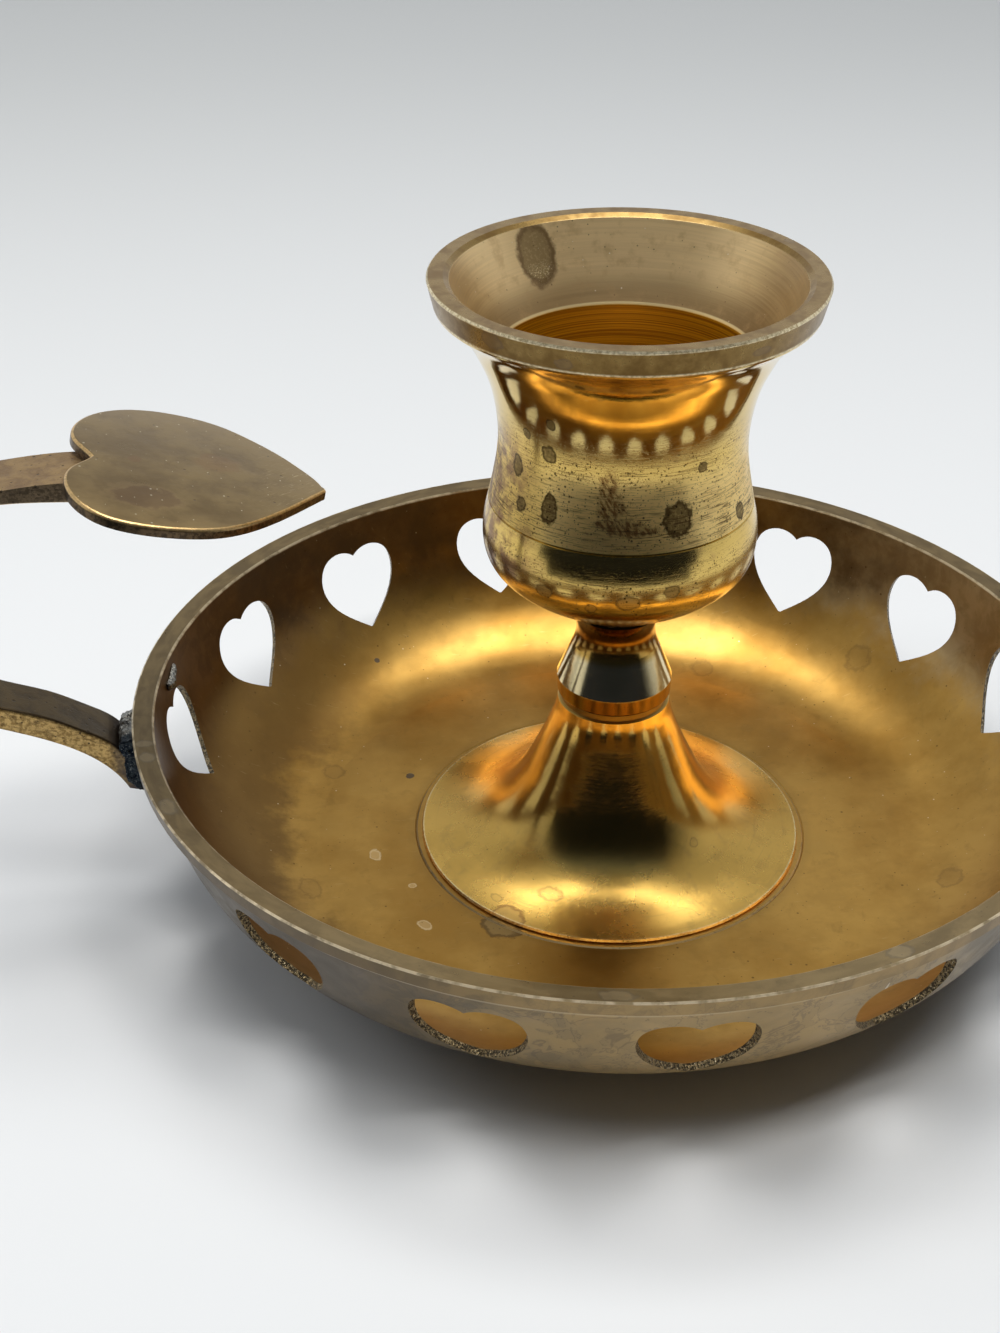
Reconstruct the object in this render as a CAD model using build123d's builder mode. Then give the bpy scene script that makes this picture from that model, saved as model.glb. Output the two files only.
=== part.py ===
from build123d import *
import math
import os

# Chamberstick with a finger loop, millimetres.
# Origin: centre of the pan's foot ring on the table plane. +Z up, the loop lies along -X.

# ---- driving dimensions -------------------------------------------------
floor_z = 4.2            # top of the pan's flat floor
floor_t = 1.2            # thickness of the floor
foot_ring_ro = 30.4      # foot ring, outer and inner radius
foot_ring_ri = 27.6

rim_ro = 49.43           # rim ring, outer and inner radius
rim_ri = 47.22
rim_top_z = 22.37
rim_band_h = 1.45        # height of the rim's upright outer face

heart_flare = 0.42       # the cut widens outwards: offset of the outline per mm through the wall
heart_tilt = 28.0        # the wall's outward normal points this far below level
# each pierced heart in the middle of the wall: azimuth in degrees, width, tip to cusp, lift up
# the wall; hand cut, so the pitch of 24 and the sizes wander a little
hearts = [(169.4, 9.9, 9.35, 0.1), (145.5, 10.75, 8.9, 0.1), (121.9, 10.4, 9.1, 0.2),
          (98.3, 9.9, 8.9, 0.15), (74.5, 10.3, 9.1, 0.2), (50.8, 10.4, 9.25, 0.35),
          (27.6, 10.75, 9.15, 0.4), (5.8, 10.5, 8.9, 0.1), (-18.6, 10.4, 9.1, 0.2),
          (-42.6, 10.5, 9.0, 0.2), (-66.5, 10.5, 9.1, 0.3), (-91.2, 10.5, 8.95, 0.4),
          (-115.8, 10.5, 9.1, 0.28), (-140.7, 10.6, 9.1, 0.28), (-165.8, 10.4, 9.1, 0.2)]

neck_r = 4.03            # narrowest part of the pedestal
knop_r = 5.94
foot_r = 20.26           # trumpet foot
shell_t = 2.0            # wall of the hollow trumpet
boss_r = 5.2             # tapped boss inside the trumpet

lip_r = 18.68            # candle cup
lip_ri = 16.52
cup_top_z = 66.72
bore_r = 11.1            # straight part of the candle bore
bore_mouth_r = 11.97     # where the bore meets the flared funnel
bore_mouth_z = 59.09
bore_top_z = 54.0        # the bore is straight from here down
bore_bottom_z = 38.6
seat_z = 31.55           # joint between the pedestal and the cup

stud_r = 2.0             # threaded stud between the pedestal and the cup
screw_r = 2.4            # base screw
washer_ro = 6.5
washer_t = 0.8
head_r = 4.6
head_h = 1.35

strip_w = 5.2            # flat bar of the finger loop, width at its foot
strip_w_top = 6.7        # and under the thumb plate
plate_t = 1.0            # heart-shaped thumb plate
notch_x, notch_z = -50.27, 51.47   # middle of the plate's notch, on its top face
tip_x, tip_z = -28.79, 46.34       # the plate's tip, on its top face
solder_t = 0.2           # solder film under the plate

os.makedirs("parts", exist_ok=True)


# ---- pan ----------------------------------------------------------------
# half section of the dish, revolved: foot ring, floor, curved wall and flat rim ring
floor_bot = floor_z - floor_t
with BuildPart() as pan:
    with BuildSketch(Plane.XZ):
        with BuildLine():
            # inner face from the axis hole out to the rim, with a fine turned line beside the foot
            Polyline((screw_r + 0.15, floor_z), (20.75, floor_z), (20.9, floor_z - 0.12),
                     (21.05, floor_z), (31.26, floor_z))
            Spline((31.26, floor_z), (37.72, 5.55), (42.75, 9.12), (45.10, 12.5), (46.27, 16.25),
                   (46.85, 19.4), (rim_ri, 22.02),
                   tangents=((1, 0), (0.150, 0.989)))
            # rim ring: eased inner edge, flat top, thin eased outer edge, upright face, small step
            Polyline((rim_ri, 22.02), (rim_ri + 0.18, 22.2), (rim_ro - 0.14, rim_top_z),
                     (rim_ro, rim_top_z - 0.14), (rim_ro - 0.12, rim_top_z - rim_band_h),
                     (rim_ro - 0.62, rim_top_z - rim_band_h - 0.22))
            # outer face down to the foot ring
            Spline((rim_ro - 0.62, rim_top_z - rim_band_h - 0.22), (47.80, 17.9), (46.10, 13.2),
                   (43.30, 8.75), (38.0, 4.75), (31.6, floor_bot + 0.02),
                   tangents=((-0.24, -0.97), (-1, 0)))
            # foot ring and the recess inside it
            Polyline((31.6, floor_bot + 0.02), (foot_ring_ro + 0.5, floor_bot - 0.3),
                     (foot_ring_ro, 0.25), (foot_ring_ro - 0.25, 0),
                     (foot_ring_ri + 0.25, 0), (foot_ring_ri, 0.25),
                     (foot_ring_ri - 0.5, floor_bot), (screw_r + 0.15, floor_bot),
                     (screw_r + 0.15, floor_z))
        make_face()
    revolve(axis=Axis.Z)
    # hearts pierced square to the wall, tip down, lofted from a smaller heart inside the wall
    # to a larger one outside it, because the cut flares outwards
    for az, heart_w, heart_h, lift in hearts:
        ca, sa = math.cos(math.radians(az)), math.sin(math.radians(az))
        ct, st = math.cos(math.radians(heart_tilt)), math.sin(math.radians(heart_tilt))
        mid_r, mid_z = 44.24 + lift * st, 13.74 + lift * ct
        for through in (-1.3, 3.3):
            wall = Plane(origin=(mid_r * ca + through * ct * ca, mid_r * sa + through * ct * sa,
                                 mid_z - through * st),
                         x_dir=(-sa, ca, 0), z_dir=(ct * ca, ct * sa, -st))
            # the plane's own y may point down the wall, so the heart is drawn with its cusp up
            up = 1.0 if wall.y_dir.Z > 0 else -1.0
            grow = 1.0 + heart_flare * (through - 0.8) / (heart_w / 2)
            hw = heart_w / 2 * grow
            hh = heart_h * grow
            right = [(0, 0.5), (0.21, 0.5 + 0.079), (0.52, 0.5 + 0.105), (0.87, 0.5 + 0.008),
                     (1.0, 0.5 - 0.2), (0.925, 0.5 - 0.43), (0.684, 0.5 - 0.65),
                     (0.31, 0.5 - 0.858), (0.024, -0.5 + 0.002)]
            with BuildSketch(wall):
                with BuildLine():
                    Spline(*[(x * hw, y * hh * up) for x, y in right])
                    Spline(*[(-x * hw, y * hh * up) for x, y in right])
                    Line((0.024 * hw, -0.498 * hh * up), (-0.024 * hw, -0.498 * hh * up))
                make_face()
        loft(ruled=True, mode=Mode.SUBTRACT)
pan.part.label = "pan"

# ---- pedestal -----------------------------------------------------------
# trumpet foot, groove, band, knop and neck; hollow beneath with a tapped boss
with BuildPart() as pedestal:
    with BuildSketch(Plane.XZ):
        with BuildLine():
            Polyline((foot_r - 0.9, floor_z), (foot_r - 0.15, floor_z), (foot_r, floor_z + 0.2),
                     (foot_r - 0.12, floor_z + 0.42))
            Spline((foot_r - 0.12, floor_z + 0.42), (17.90, 5.03), (15.95, 5.60), (14.42, 6.30),
                   (13.24, 7.03), (12.06, 8.00), (11.14, 9.02), (10.38, 10.05), (9.71, 11.1),
                   (9.12, 12.15), (8.55, 13.3), (7.98, 14.5), (7.43, 15.75), (6.91, 17.0),
                   (6.48, 18.1), (6.12, 19.25), (5.80, 20.9),
                   tangents=((-1, 0.10), (-0.14, 0.99)))
            # groove and plain band under the knop
            Polyline((5.80, 20.9), (5.50, 21.08), (5.46, 21.62), (5.80, 21.86), (5.87, 22.0),
                     (5.93, 23.5), (knop_r - 0.01, 23.62))
            # knop's straight conical facet with a sharp lower edge, and the concave neck
            Line((knop_r - 0.01, 23.62), (4.37, 27.5))
            Spline((4.37, 27.5), (4.21, 27.98), (4.09, 28.5), (neck_r, 29.15), (4.11, 30.0), (4.38, 30.85),
                   (4.62, seat_z - 0.2))
            Polyline((4.62, seat_z - 0.2), (4.50, seat_z), (stud_r, seat_z),
                     (stud_r, 22.2), (0, 21.0), (0, 14.6), (screw_r, 13.2),
                     (screw_r, floor_z), (boss_r, floor_z), (boss_r - 0.3, 7.6))
            # hollow of the trumpet
            Spline((boss_r - 0.3, 7.6), (5.8, 8.5), (7.3, 7.9), (9.6, 6.1), (13.0, 4.75),
                   (foot_r - 3.4, floor_z))
            Line((foot_r - 3.4, floor_z), (foot_r - 0.9, floor_z))
        make_face()
    revolve(axis=Axis.Z)
pedestal.part.label = "pedestal"

# ---- candle cup ---------------------------------------------------------
with BuildPart() as candle_cup:
    with BuildSketch(Plane.XZ):
        with BuildLine():
            Polyline((stud_r, seat_z), (4.50, seat_z), (4.72, seat_z + 0.18), (4.66, seat_z + 0.42),
                     (4.81, seat_z + 0.55))
            # rounded underside, belly up to the incised line
            Spline((4.81, seat_z + 0.55), (6.6, 32.95), (8.5, 34.1), (10.2, 35.2),
                   (11.6, 36.27), (12.65, 37.4), (13.3, 38.8), (13.53, 40.3), (13.40, 42.3),
                   (12.99, 44.12), tangents=((0.90, 0.43), (-0.24, 0.97)))
            Polyline((12.99, 44.12), (12.82, 44.22), (12.95, 44.36))
            # waist and flare up to the lip's underside
            Spline((12.95, 44.36), (12.31, 47.6), (12.02, 50.45), (12.19, 53.23), (12.74, 56.0),
                   (13.37, 57.85), (14.05, 59.33), (14.72, 60.62), (15.42, 61.62), (16.35, 62.65),
                   (17.55, 63.62),
                   tangents=((-0.22, 0.97), (0.84, 0.54)))
            # lip ring: upright band, flat top, eased inner edge
            Polyline((17.55, 63.62), (17.95, 63.95), (18.06, 64.2), (lip_r - 0.05, cup_top_z - 0.2),
                     (lip_r - 0.2, cup_top_z), (lip_ri + 0.55, cup_top_z - 0.02),
                     (lip_ri, cup_top_z - 0.36))
            # flared funnel down to the bore
            Spline((lip_ri, cup_top_z - 0.36), (15.30, 64.1), (14.15, 62.0), (13.05, 60.3),
                   (bore_mouth_r + 0.16, bore_mouth_z + 0.1),
                   tangents=((-0.46, -0.89), (-0.66, -0.75)))
            Polyline((bore_mouth_r + 0.16, bore_mouth_z + 0.1), (bore_mouth_r, bore_mouth_z - 0.12),
                     (bore_r, bore_top_z), (bore_r, bore_bottom_z), (stud_r + 0.4, bore_bottom_z - 0.5),
                     (0, bore_bottom_z - 0.9), (0, 37.0), (stud_r, 36.3), (stud_r, seat_z))
        make_face()
    revolve(axis=Axis.Z)
candle_cup.part.label = "candle_cup"

# ---- threaded stud between pedestal and cup ------------------------------
with BuildPart() as cup_stud:
    with BuildSketch(Plane.XZ):
        Polygon((0, 22.6), (stud_r - 0.4, 22.6), (stud_r, 23.0), (stud_r, 35.8),
                (stud_r - 0.4, 36.2), (0, 36.2), align=None)
    revolve(axis=Axis.Z)
cup_stud.part.label = "cup_stud"

# ---- washer and slotted screw under the pan -------------------------------
with BuildPart() as base_washer:
    with BuildSketch(Plane.XY.offset(floor_bot - washer_t)):
        Circle(washer_ro)
        Circle(screw_r + 0.1, mode=Mode.SUBTRACT)
    extrude(amount=washer_t)
    chamfer(base_washer.edges().filter_by(GeomType.CIRCLE).group_by(Axis.Z)[0].sort_by(SortBy.RADIUS)[-1], 0.15)
base_washer.part.label = "base_washer"

head_top = floor_bot - washer_t
with BuildPart() as base_screw:
    with BuildSketch(Plane.XZ):
        Polygon((0, head_top - head_h), (head_r - 1.1, head_top - head_h),
                (head_r - 0.25, head_top - head_h + 0.45), (head_r, head_top - head_h + 0.9),
                (head_r, head_top), (screw_r, head_top), (screw_r, 12.4),
                (screw_r - 0.5, 13.0), (0, 13.0), align=None)
    revolve(axis=Axis.Z)
    # screwdriver slot
    with BuildSketch(Plane.XY.offset(head_top - head_h)):
        with Locations(Rotation(0, 0, 31)):
            Rectangle(2 * head_r + 2, 1.2)
    extrude(amount=0.75, mode=Mode.SUBTRACT)
base_screw.part.label = "base_screw"

# ---- finger loop ----------------------------------------------------------
# one flat bar: its foot lies against the wall, it rises outwards, turns over and comes back
# under the thumb plate; drawn edge-on in the XZ plane (x is minus the distance from the axis)
slope = (notch_z - tip_z) / (tip_x - notch_x)
slope_len = math.hypot(1, slope)


def under_plate(x, drop=0.0):
    """Height of the plate's underside at x, less a drop square to the plate."""
    return notch_z - slope * (x - notch_x) - (plate_t + drop) * slope_len


end_x = -40.6
bend_x = -50.4            # the bar is straight from here to its end
bar_end_t = 2.1
outer_pts = [(-50.2, 15.4), (-52.4, 18.5), (-57.5, 21.85), (-67.6, 26.2), (-75.3, 35.6),
             (-73.0, 45.2), (-68.2, 48.25), (-63.2, 49.35), (-58.8, 49.92), (-54.4, 50.33)]
inner_pts = [(-52.9, 48.3), (-55.8, 48.42), (-59.2, 48.38), (-63.2, 47.85), (-67.2, 46.65), (-70.7, 44.3),
             (-73.0, 40.75), (-73.1, 36.2), (-70.9, 32.1), (-66.6, 28.55), (-61.6, 26.05), (-57.1, 24.35),
             (-54.1, 22.7), (-51.3, 20.8), (-49.9, 18.9), (-48.8, 17.0), (-47.75, 15.35)]
bend_top = (bend_x, under_plate(bend_x, solder_t))
bend_low = (bend_x - 0.4, under_plate(bend_x - 0.4, solder_t + bar_end_t))
end_top = (end_x, under_plate(end_x, solder_t))
end_low = (end_x - 0.3, under_plate(end_x - 0.3, solder_t + bar_end_t))
with BuildPart() as handle_strip:
    with BuildSketch(Plane.XZ.offset(-strip_w_top / 2)):
        with BuildLine():
            Spline(*outer_pts, bend_top)
            Polyline(bend_top, end_top, end_low, bend_low)
            Spline(bend_low, *inner_pts)
            Polyline(inner_pts[-1], (-48.7, 15.0), outer_pts[0])
        make_face()
    extrude(amount=strip_w_top)
    # the bar widens from its foot to the thumb plate
    with BuildSketch(Plane.YZ.offset(-90)):
        with BuildLine():
            side_pts = [(strip_w / 2, 10), (strip_w / 2 + 0.02, 20), (strip_w / 2 + 0.12, 28),
                        (strip_w_top / 2 - 0.25, 41), (strip_w_top / 2 - 0.03, 48), (strip_w_top / 2, 56)]
            Spline(*side_pts)
            Line((strip_w_top / 2, 56), (-strip_w_top / 2, 56))
            Spline(*[(-y, z) for y, z in side_pts])
            Line((-strip_w / 2, 10), (strip_w / 2, 10))
        make_face()
    extrude(amount=60, mode=Mode.INTERSECT)
    fillet(handle_strip.edges().filter_by(lambda e: e.length > 60), 0.32)
handle_strip.part.label = "handle_strip"

# ---- heart-shaped thumb plate ----------------------------------------------
# top face through the notch and the tip, tip towards the candle cup
pl_x = Vector(tip_x - notch_x, 0, tip_z - notch_z).normalized()
plate_plane = Plane(origin=(notch_x, 0, notch_z), x_dir=pl_x, z_dir=Vector(0, -1, 0).cross(pl_x) * -1)
if plate_plane.z_dir.Z < 0:
    plate_plane = Plane(origin=(notch_x, 0, notch_z), x_dir=pl_x, z_dir=plate_plane.z_dir * -1)
# the half away from the camera side of the bar is a little fuller than the other, as filed by hand
far_pts = [(0, 0), (-0.95, 1.55), (-1.72, 2.85), (-2.1, 4.6), (-1.78, 6.75), (-0.72, 8.85),
           (1.5, 10.95), (5.0, 12.22), (9.0, 12.15), (12.1, 11.22), (15.0, 9.3), (17.98, 6.62),
           (20.2, 3.95), (21.4, 2.2), (21.95, 0.95)]
near_pts = [(0, 0), (-0.95, 1.55), (-1.75, 2.9), (-2.18, 4.7), (-1.95, 6.9), (-0.78, 9.6),
            (1.45, 11.7), (5.2, 12.5), (8.9, 12.08), (12.1, 10.95), (14.9, 8.9), (17.7, 5.85),
            (20.1, 2.7), (21.3, 1.05), (22.0, 0.1)]
with BuildPart() as thumb_plate:
    with BuildSketch(plate_plane):
        with BuildLine():
            Spline(*far_pts)
            Spline(*[(a, -c) for a, c in near_pts])
            ThreePointArc((21.95, 0.95), (22.25, 0.42), (22.0, -0.1))
        make_face()
    extrude(amount=-plate_t)
    fillet(thumb_plate.faces().filter_by(lambda f: f.normal_at().dot(plate_plane.z_dir) > 0.999).edges(), 0.34)
thumb_plate.part.label = "thumb_plate"

# ---- solder ------------------------------------------------------------------
# film between the plate and the bar's end
film_plane = Plane(origin=plate_plane.origin - plate_plane.z_dir * plate_t, x_dir=pl_x, z_dir=plate_plane.z_dir)
with BuildPart() as thumb_solder:
    with BuildSketch(film_plane):
        with Locations((5.1, 0)):
            RectangleRounded(8.6, strip_w_top + 0.7, 0.9)
    extrude(amount=-solder_t - 0.25)
    add(handle_strip.part, mode=Mode.SUBTRACT)
thumb_solder.part.label = "thumb_solder"

# fillet between the bar's foot, the wall and the rim: it fills the wedge and laps a little over
# the bar's sides, with granules where it froze at the top
with BuildPart() as handle_solder:
    with BuildSketch(Plane.XZ.offset(-strip_w / 2 - 0.22)):
        with BuildLine():
            Polyline((-46.6, 15.25), (-49.2, 15.2), (-50.3, 16.3), (-50.5, 18.2), (-50.35, 19.3),
                     (-50.85, 20.7), (-50.6, 21.05), (-49.9, 21.2), (-49.2, 21.65), (-48.2, 20.6),
                     (-46.9, 18.4), (-46.6, 15.25))
        make_face()
    extrude(amount=strip_w + 0.44)
    for x, y, z, r in ((-50.3, 1.6, 20.95, 0.42), (-50.0, 0.75, 21.05, 0.5), (-50.35, -0.1, 20.9, 0.45),
                       (-50.05, -1.0, 20.95, 0.5), (-50.4, -1.8, 20.75, 0.42), (-49.75, 1.9, 21.15, 0.4),
                       (-49.8, -2.5, 19.7, 0.45), (-49.2, -2.6, 18.0, 0.4)):
        with Locations((x, y, z)):
            Sphere(r)
    add(handle_strip.part, mode=Mode.SUBTRACT)
    add(pan.part, mode=Mode.SUBTRACT)
handle_solder.part.label = "handle_solder"

# long bead that ran through to the inside, under the rim
with BuildPart() as solder_overflow:
    for az, r, z, size in ((165.9, 46.95, 20.85, 0.36), (166.5, 46.9, 20.6, 0.46), (167.2, 46.9, 20.4, 0.52),
                           (167.9, 46.85, 20.2, 0.56), (168.6, 46.85, 20.15, 0.54), (169.3, 46.85, 20.2, 0.46),
                           (167.9, 46.75, 19.6, 0.42)):
        with Locations((r * math.cos(math.radians(az)), r * math.sin(math.radians(az)), z)):
            Sphere(size)
    add(pan.part, mode=Mode.SUBTRACT)
solder_overflow.part.label = "solder_overflow"

pieces = [pan, pedestal, candle_cup, cup_stud, base_washer, base_screw,
          handle_strip, thumb_plate, thumb_solder, handle_solder, solder_overflow]
for p in pieces:
    solids = p.part.solids()
    print(p.part.label, len(solids), "solids", round(p.part.volume, 2), "mm3", p.part.bounding_box())
    export_step(p.part, "parts/" + p.part.label + ".step")
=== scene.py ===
import math

import bpy
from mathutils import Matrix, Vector, noise


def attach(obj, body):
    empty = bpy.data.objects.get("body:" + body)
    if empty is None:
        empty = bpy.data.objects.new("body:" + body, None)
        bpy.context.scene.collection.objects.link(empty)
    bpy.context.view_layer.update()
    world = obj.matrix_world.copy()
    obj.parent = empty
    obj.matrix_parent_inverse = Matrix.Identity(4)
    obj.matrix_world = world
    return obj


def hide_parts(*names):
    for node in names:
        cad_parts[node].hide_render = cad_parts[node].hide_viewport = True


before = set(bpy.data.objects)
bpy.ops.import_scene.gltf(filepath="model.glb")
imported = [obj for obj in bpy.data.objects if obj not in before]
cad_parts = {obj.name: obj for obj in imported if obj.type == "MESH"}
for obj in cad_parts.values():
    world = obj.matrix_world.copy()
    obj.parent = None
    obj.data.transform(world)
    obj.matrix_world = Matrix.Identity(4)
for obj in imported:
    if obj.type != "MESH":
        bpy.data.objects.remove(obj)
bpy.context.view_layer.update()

scene = bpy.context.scene

# ------------------------------------------------------------------ camera
cam_data = bpy.data.cameras.new("camera")
cam_data.sensor_fit = "VERTICAL"
cam_data.sensor_height = 36.0
cam_data.lens = 52.35
cam_data.clip_start = 0.01
cam_data.clip_end = 20
camera = bpy.data.objects.new("camera", cam_data)
scene.collection.objects.link(camera)
camera.location = (-0.03397, -0.16696, 0.12994)
forward = Vector((0.1112, 0.8419, -0.5281)).normalized()
camera.rotation_mode = "QUATERNION"
camera.rotation_quaternion = forward.to_track_quat("-Z", "Y")
scene.camera = camera


# ------------------------------------------------------------------ node helpers
class Mat:
    """A small builder for procedural metal materials. Positions are in millimetres in the row frame."""

    def __init__(self, name):
        self.mat = bpy.data.materials.new(name)
        self.mat.use_nodes = True
        self.t = self.mat.node_tree
        self.t.nodes.clear()
        self.out = self.t.nodes.new("ShaderNodeOutputMaterial")
        self.bsdf = self.t.nodes.new("ShaderNodeBsdfPrincipled")
        self.t.links.new(self.bsdf.outputs["BSDF"], self.out.inputs["Surface"])
        self.bsdf.inputs["Metallic"].default_value = 1.0
        tc = self.t.nodes.new("ShaderNodeTexCoord")
        self.P = self.vec("SCALE", tc.outputs["Object"], scale=1000.0)
        self.x, self.y, self.z = self.split(self.P)
        self.r = self.m("SQRT", self.m("ADD", self.m("MULTIPLY", self.x, self.x), self.m("MULTIPLY", self.y, self.y)))
        self.th = self.m("ARCTAN2", self.y, self.x)
        geo = self.t.nodes.new("ShaderNodeNewGeometry")
        self.N = geo.outputs["Normal"]
        self.nx, self.ny, self.nz = self.split(self.N)

    def put(self, sock, v):
        if isinstance(v, (int, float)):
            sock.default_value = v
        elif isinstance(v, (tuple, list)):
            sock.default_value = v if len(v) != 3 or sock.type != "RGBA" else (*v, 1.0)
        else:
            self.t.links.new(v, sock)

    def m(self, op, a, b=0.0, c=0.0, clamp=False):
        n = self.t.nodes.new("ShaderNodeMath")
        n.operation = op
        n.use_clamp = clamp
        for i, v in enumerate((a, b, c)):
            self.put(n.inputs[i], v)
        return n.outputs[0]

    def vec(self, op, a, b=None, scale=None):
        n = self.t.nodes.new("ShaderNodeVectorMath")
        n.operation = op
        self.put(n.inputs[0], a)
        if b is not None:
            self.put(n.inputs[1], b)
        if scale is not None:
            self.put(n.inputs["Scale"], scale)
        return n.outputs["Value"] if op in ("DOT_PRODUCT", "LENGTH", "DISTANCE") else n.outputs["Vector"]

    def split(self, v):
        n = self.t.nodes.new("ShaderNodeSeparateXYZ")
        self.put(n.inputs[0], v)
        return n.outputs[0], n.outputs[1], n.outputs[2]

    def join(self, x, y, z):
        n = self.t.nodes.new("ShaderNodeCombineXYZ")
        for i, v in enumerate((x, y, z)):
            self.put(n.inputs[i], v)
        return n.outputs[0]

    def noise(self, v, scale, detail=4.0, rough=0.55, dist=0.0):
        n = self.t.nodes.new("ShaderNodeTexNoise")
        self.put(n.inputs["Vector"], v)
        n.inputs["Scale"].default_value = scale
        n.inputs["Detail"].default_value = detail
        n.inputs["Roughness"].default_value = rough
        n.inputs["Distortion"].default_value = dist
        return n.outputs["Fac"]

    def voro(self, v, scale, feature="F1", out="Distance", rnd=1.0):
        n = self.t.nodes.new("ShaderNodeTexVoronoi")
        n.feature = feature
        self.put(n.inputs["Vector"], v)
        n.inputs["Scale"].default_value = scale
        n.inputs["Randomness"].default_value = rnd
        return n.outputs[out]

    def step(self, v, lo, hi, a=0.0, b=1.0):
        """Smooth step of v from lo to hi, giving a to b."""
        n = self.t.nodes.new("ShaderNodeMapRange")
        n.interpolation_type = "SMOOTHSTEP"
        self.put(n.inputs[0], v)
        n.inputs[1].default_value = lo
        n.inputs[2].default_value = hi
        n.inputs[3].default_value = a
        n.inputs[4].default_value = b
        return n.outputs[0]

    def lin(self, v, lo, hi, a=0.0, b=1.0):
        n = self.t.nodes.new("ShaderNodeMapRange")
        self.put(n.inputs[0], v)
        n.inputs[1].default_value = lo
        n.inputs[2].default_value = hi
        n.inputs[3].default_value = a
        n.inputs[4].default_value = b
        return n.outputs[0]

    def mix(self, f, a, b, blend="MIX"):
        n = self.t.nodes.new("ShaderNodeMix")
        n.data_type = "RGBA"
        n.blend_type = blend
        n.clamp_factor = True
        self.put(n.inputs[0], f)
        self.put(n.inputs[6], a)
        self.put(n.inputs[7], b)
        return n.outputs[2]

    def mixf(self, f, a, b):
        n = self.t.nodes.new("ShaderNodeMix")
        n.data_type = "FLOAT"
        self.put(n.inputs[0], f)
        self.put(n.inputs[2], a)
        self.put(n.inputs[3], b)
        return n.outputs[0]

    def bump(self, h, dist_mm, strength=1.0, prev=None):
        n = self.t.nodes.new("ShaderNodeBump")
        n.inputs["Strength"].default_value = strength
        n.inputs["Distance"].default_value = dist_mm * 0.001
        self.put(n.inputs["Height"], h)
        if prev is not None:
            self.t.links.new(prev, n.inputs["Normal"])
        return n.outputs["Normal"]

    def done(self, color, rough, normal=None):
        self.put(self.bsdf.inputs["Base Color"], color)
        self.put(self.bsdf.inputs["Roughness"], rough)
        if normal is not None:
            self.t.links.new(normal, self.bsdf.inputs["Normal"])
        return self.mat


def norm_r(k):
    """Outward radial part of the surface normal."""
    return k.m("DIVIDE", k.m("ADD", k.m("MULTIPLY", k.nx, k.x), k.m("MULTIPLY", k.ny, k.y)), k.m("MAXIMUM", k.r, 0.01))


def stains(k, spots, rag, soft=0.12):
    """Masks (inside, outline) of stains. Each is (azimuth deg, r, z, half width round the turn,
    half height up the profile, profile angle deg); rag is a shared noise that frays the edges."""
    inside = outline = None
    for th, r, z, rt, ru, s in spots:
        a, s = math.radians(th), math.radians(s)
        c = (r * math.cos(a), r * math.sin(a), z)
        d = k.vec("SUBTRACT", k.P, c)
        t = tuple(v / rt for v in (-math.sin(a), math.cos(a), 0))
        u = tuple(v / ru for v in (math.cos(a) * math.cos(s), math.sin(a) * math.cos(s), math.sin(s)))
        n = tuple(v / 4.0 for v in (-math.cos(a) * math.sin(s), -math.sin(a) * math.sin(s), math.cos(s)))
        q = k.vec("LENGTH", k.join(k.vec("DOT_PRODUCT", d, t), k.vec("DOT_PRODUCT", d, u), k.vec("DOT_PRODUCT", d, n)))
        q = k.m("ADD", q, rag)
        i = k.step(q, 1.0 - soft, 1.0 + soft, 1.0, 0.0)
        o = k.m("MULTIPLY", k.step(q, 0.72, 0.95), k.step(q, 1.0, 1.22, 1.0, 0.0))
        inside = i if inside is None else k.m("MAXIMUM", inside, i)
        outline = o if outline is None else k.m("MAXIMUM", outline, o)
    return inside, outline


def pits(k, v, per_mm, size, keep):
    """Small round pits: cells of 1/per_mm mm, of which the fraction keep has a pit of the given size."""
    n = k.t.nodes.new("ShaderNodeTexVoronoi")
    k.put(n.inputs["Vector"], v)
    n.inputs["Scale"].default_value = per_mm
    sep = k.split(n.outputs["Color"])
    on = k.step(sep[0], keep - 0.02, keep + 0.02, 1.0, 0.0)
    big = k.lin(sep[1], 0.0, 1.0, 0.5, 1.3)
    d = k.m("DIVIDE", n.outputs["Distance"], big)
    return k.m("MULTIPLY", on, k.step(d, size * 0.55, size, 1.0, 0.0))


def turned(k, scale, wander=0.15):
    """Turned lines: noise that runs round the axis and changes along the profile."""
    v = k.join(k.m("MULTIPLY", k.x, wander), k.m("MULTIPLY", k.y, wander), k.m("MULTIPLY", k.m("ADD", k.z, k.r), scale))
    return k.noise(v, 1.0, 3.0, 0.6)


def scratches(k, along, across, lo, hi):
    """Short scratches round the turn: along and across are cycles per mm."""
    v = k.join(k.m("MULTIPLY", k.th, k.m("MULTIPLY", k.r, along)), k.m("MULTIPLY", k.z, across), k.m("MULTIPLY", k.r, across))
    return k.step(k.noise(v, 1.0, 2.0, 0.7), lo, hi)


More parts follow.
